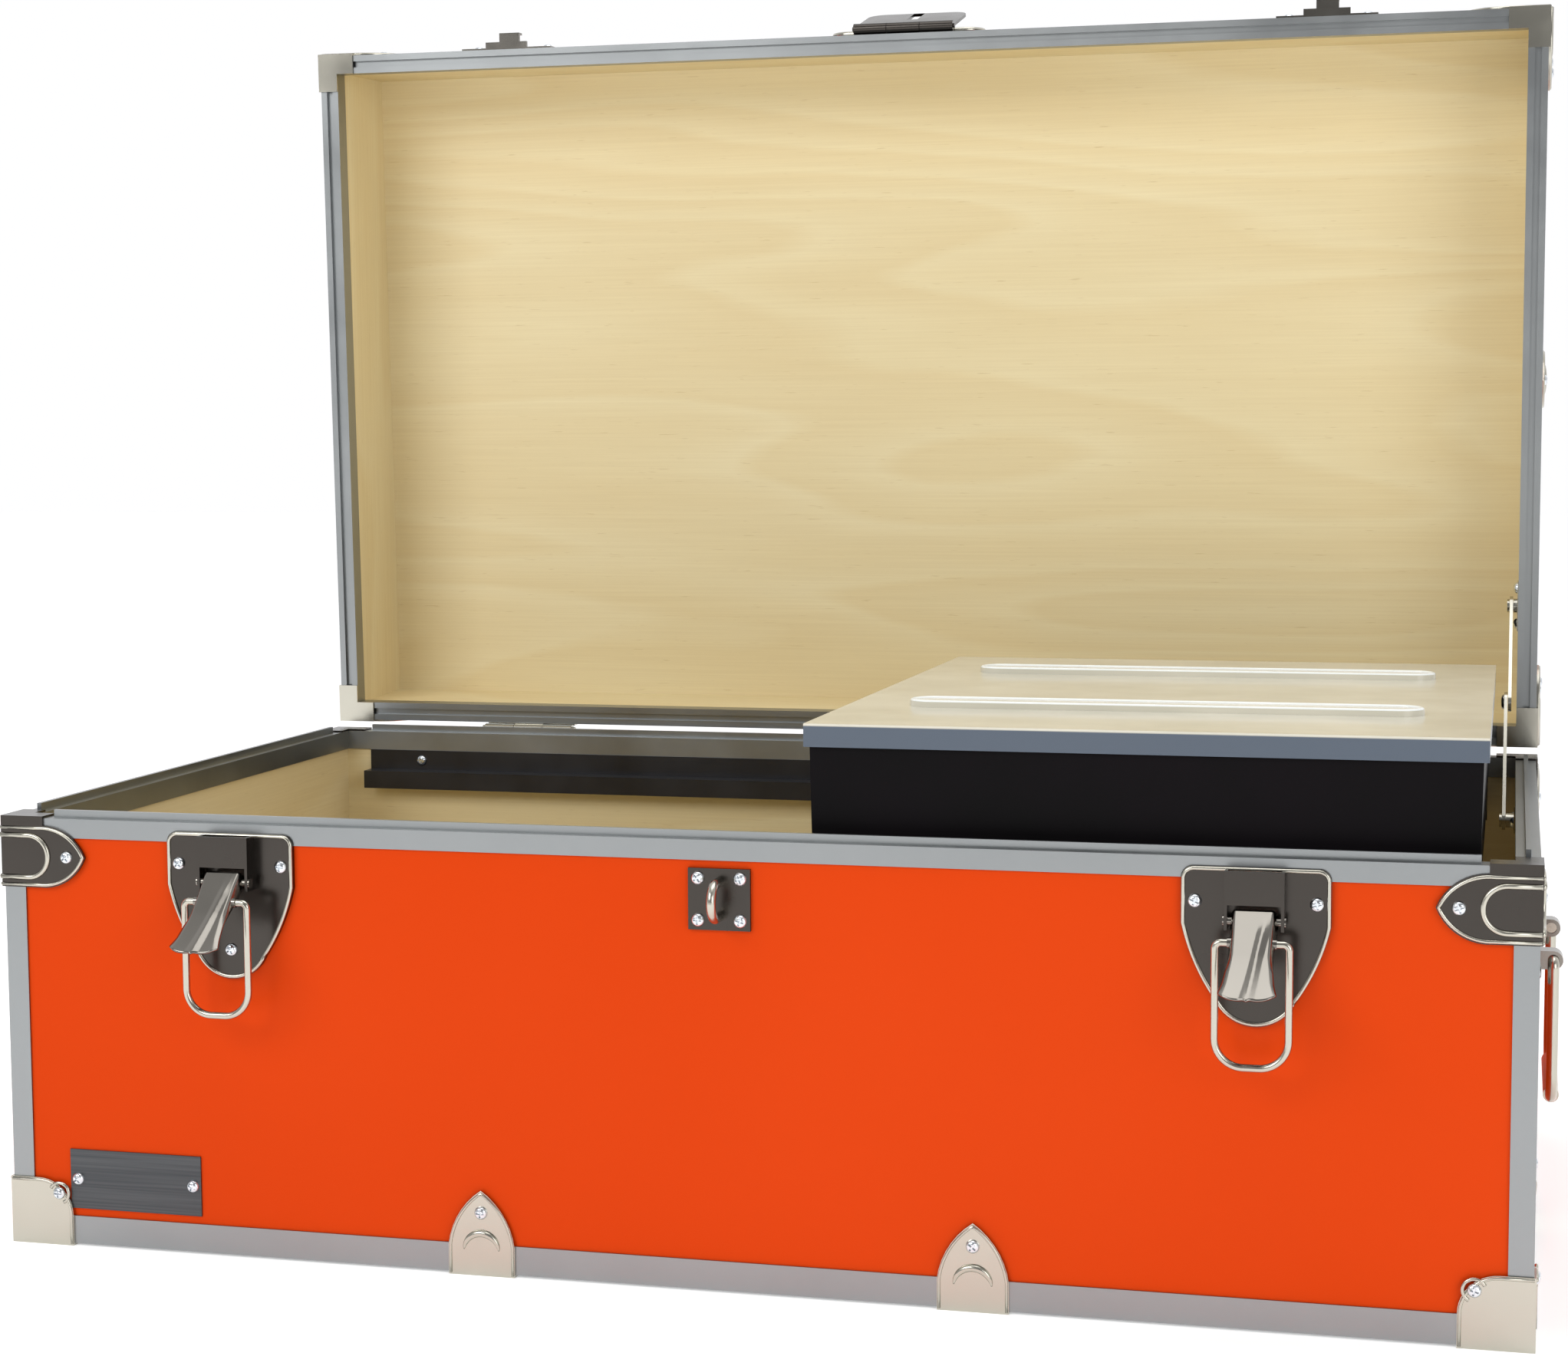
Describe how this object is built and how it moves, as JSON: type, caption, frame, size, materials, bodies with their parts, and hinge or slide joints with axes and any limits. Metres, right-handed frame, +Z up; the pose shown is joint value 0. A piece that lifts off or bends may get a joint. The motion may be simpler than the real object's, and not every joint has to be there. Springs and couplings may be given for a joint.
{
  "type": "footlocker",
  "caption": "Plywood footlocker with metal edging and corners, hinged lid, draw latches, hasp, side handles, lid stay and a sliding tray on inner rails.",
  "frame": {"origin": "centre of the base's footprint, on the floor plane", "axes": "+X along the length to the right, +Y to the hinge side, +Z up"},
  "size_m": [0.8408, 0.6091, 0.7217],
  "materials": {
    "plywood": "sealed birch plywood with a flat cathedral grain",
    "orange_laminate": "smooth satin laminate",
    "aluminium_edging": "satin extruded aluminium",
    "plated_steel": "bright nickel plating over stamped steel",
    "zinc_screws": "bright zinc plating",
    "black_plastic": "fine-textured moulded plastic",
    "milky_plastic": "translucent moulded plastic",
    "plain_plate": "satin blank plate"
  },
  "bodies": {
    "base": {"base_front_panel": "plywood", "base_back_panel": "plywood", "base_left_panel": "plywood", "base_right_panel": "plywood", "base_bottom_panel": "plywood", "base_laminate": "orange_laminate", "base_bottom_edging": "aluminium_edging", "base_rim_edging": "aluminium_edging", "base_corner_posts": "aluminium_edging", "base_bottom_corners": "plated_steel", "base_rim_corners": "plated_steel", "base_edge_clamps": "plated_steel", "hinge_base_leaves": "plated_steel", "hinge_pins": "plated_steel", "left_latch_plate": "plated_steel", "right_latch_plate": "plated_steel", "latch_pins": "plated_steel", "staple_plate": "plated_steel", "staple_eye": "plated_steel", "left_handle_plate": "plated_steel", "right_handle_plate": "plated_steel", "front_rail": "black_plastic", "back_rail": "black_plastic", "stay_base_bracket": "plated_steel", "name_plate": "plain_plate", "base_screws": "zinc_screws"},
    "lid": {"lid_front_panel": "plywood", "lid_back_panel": "plywood", "lid_left_panel": "plywood", "lid_right_panel": "plywood", "lid_top_panel": "plywood", "lid_laminate": "orange_laminate", "lid_rim_edging": "aluminium_edging", "lid_top_edging": "aluminium_edging", "lid_corner_posts": "aluminium_edging", "lid_rim_corners": "plated_steel", "lid_top_corners": "plated_steel", "lid_edge_clamps": "plated_steel", "hinge_lid_leaves": "plated_steel", "left_strike": "plated_steel", "right_strike": "plated_steel", "hasp_plate": "plated_steel", "hasp_pin": "plated_steel", "stay_lid_bracket": "plated_steel", "lid_screws": "zinc_screws"},
    "left_lever": {"left_latch_lever": "plated_steel"},
    "right_lever": {"right_latch_lever": "plated_steel"},
    "left_bushes": {"left_latch_bushes": "plated_steel"},
    "right_bushes": {"right_latch_bushes": "plated_steel"},
    "left_loop": {"left_latch_loop": "plated_steel"},
    "right_loop": {"right_latch_loop": "plated_steel"},
    "hasp": {"hasp_leaf": "plated_steel"},
    "stay_lower": {"stay_lower_link": "plated_steel"},
    "stay_upper": {"stay_upper_link": "plated_steel"},
    "left_handle": {"left_handle_bail": "plated_steel", "left_handle_grip": "plated_steel"},
    "right_handle": {"right_handle_bail": "plated_steel", "right_handle_grip": "plated_steel"},
    "tray": {"tray_body": "black_plastic"},
    "tray_cover": {"tray_lid": "milky_plastic"}
  },
  "joints": [
    {"name": "lid_hinge", "type": "hinge", "parent": "base", "child": "lid", "pos_m": [0, 0.2336, 0.2385], "axis": [1, 0, 0], "range_deg": [0, 88]},
    {"name": "stay_lower_pivot", "type": "hinge", "parent": "base", "child": "stay_lower", "pos_m": [0.38845, 0.1586, 0.2055], "axis": [1, 0, 0], "range_deg": [0, 112.5]},
    {"name": "stay_upper_pivot", "type": "hinge", "parent": "lid", "child": "stay_upper", "pos_m": [0.3901, 0.2536, 0.3305], "axis": [1, 0, 0], "range_deg": [-105.8, 0]},
    {"name": "hasp_hinge", "type": "hinge", "parent": "lid", "child": "hasp", "pos_m": [0, 0.2268, 0.70555], "axis": [1, 0, 0], "range_deg": [0, 166]},
    {"name": "left_lever_pivot", "type": "hinge", "parent": "base", "child": "left_lever", "pos_m": [-0.272, -0.2372, 0.207], "axis": [1, 0, 0], "range_deg": [-65, 45]},
    {"name": "left_bush_turn", "type": "hinge", "parent": "left_lever", "child": "left_bushes", "pos_m": [-0.272, -0.24816, 0.19816], "axis": [1, 0, 0], "range_deg": [-45.5, 65.5]},
    {"name": "left_loop_pivot", "type": "hinge", "parent": "left_bushes", "child": "left_loop", "pos_m": [-0.272, -0.24816, 0.19816], "axis": [-1, 0, 0], "range_deg": [0, 184]},
    {"name": "right_lever_pivot", "type": "hinge", "parent": "base", "child": "right_lever", "pos_m": [0.272, -0.2372, 0.207], "axis": [1, 0, 0], "range_deg": [-65, 45]},
    {"name": "right_bush_turn", "type": "hinge", "parent": "right_lever", "child": "right_bushes", "pos_m": [0.272, -0.24816, 0.19816], "axis": [1, 0, 0], "range_deg": [-45.5, 65.5]},
    {"name": "right_loop_pivot", "type": "hinge", "parent": "right_bushes", "child": "right_loop", "pos_m": [0.272, -0.24816, 0.19816], "axis": [-1, 0, 0], "range_deg": [0, 184]},
    {"name": "left_handle_pivot", "type": "hinge", "parent": "base", "child": "left_handle", "pos_m": [-0.4154, 0, 0.16], "axis": [0, 1, 0], "range_deg": [0, 90]},
    {"name": "right_handle_pivot", "type": "hinge", "parent": "base", "child": "right_handle", "pos_m": [0.4154, 0, 0.16], "axis": [0, -1, 0], "range_deg": [0, 90]},
    {"name": "tray_slide", "type": "slide", "parent": "base", "child": "tray", "axis": [-1, 0, 0], "range_m": [0, 0.4]},
    {"name": "tray_cover_lift", "type": "slide", "parent": "tray", "child": "tray_cover", "axis": [0, 0, -1], "range_m": [-0.06, 0]}
  ],
  "couplings": [
    {"joint": "stay_lower_pivot", "follows": "lid_hinge", "ratio": 1.2745},
    {"joint": "stay_upper_pivot", "follows": "lid_hinge", "ratio": -1.1972},
    {"joint": "left_bush_turn", "follows": "left_lever_pivot", "ratio": -1},
    {"joint": "right_bush_turn", "follows": "right_lever_pivot", "ratio": -1}
  ]
}
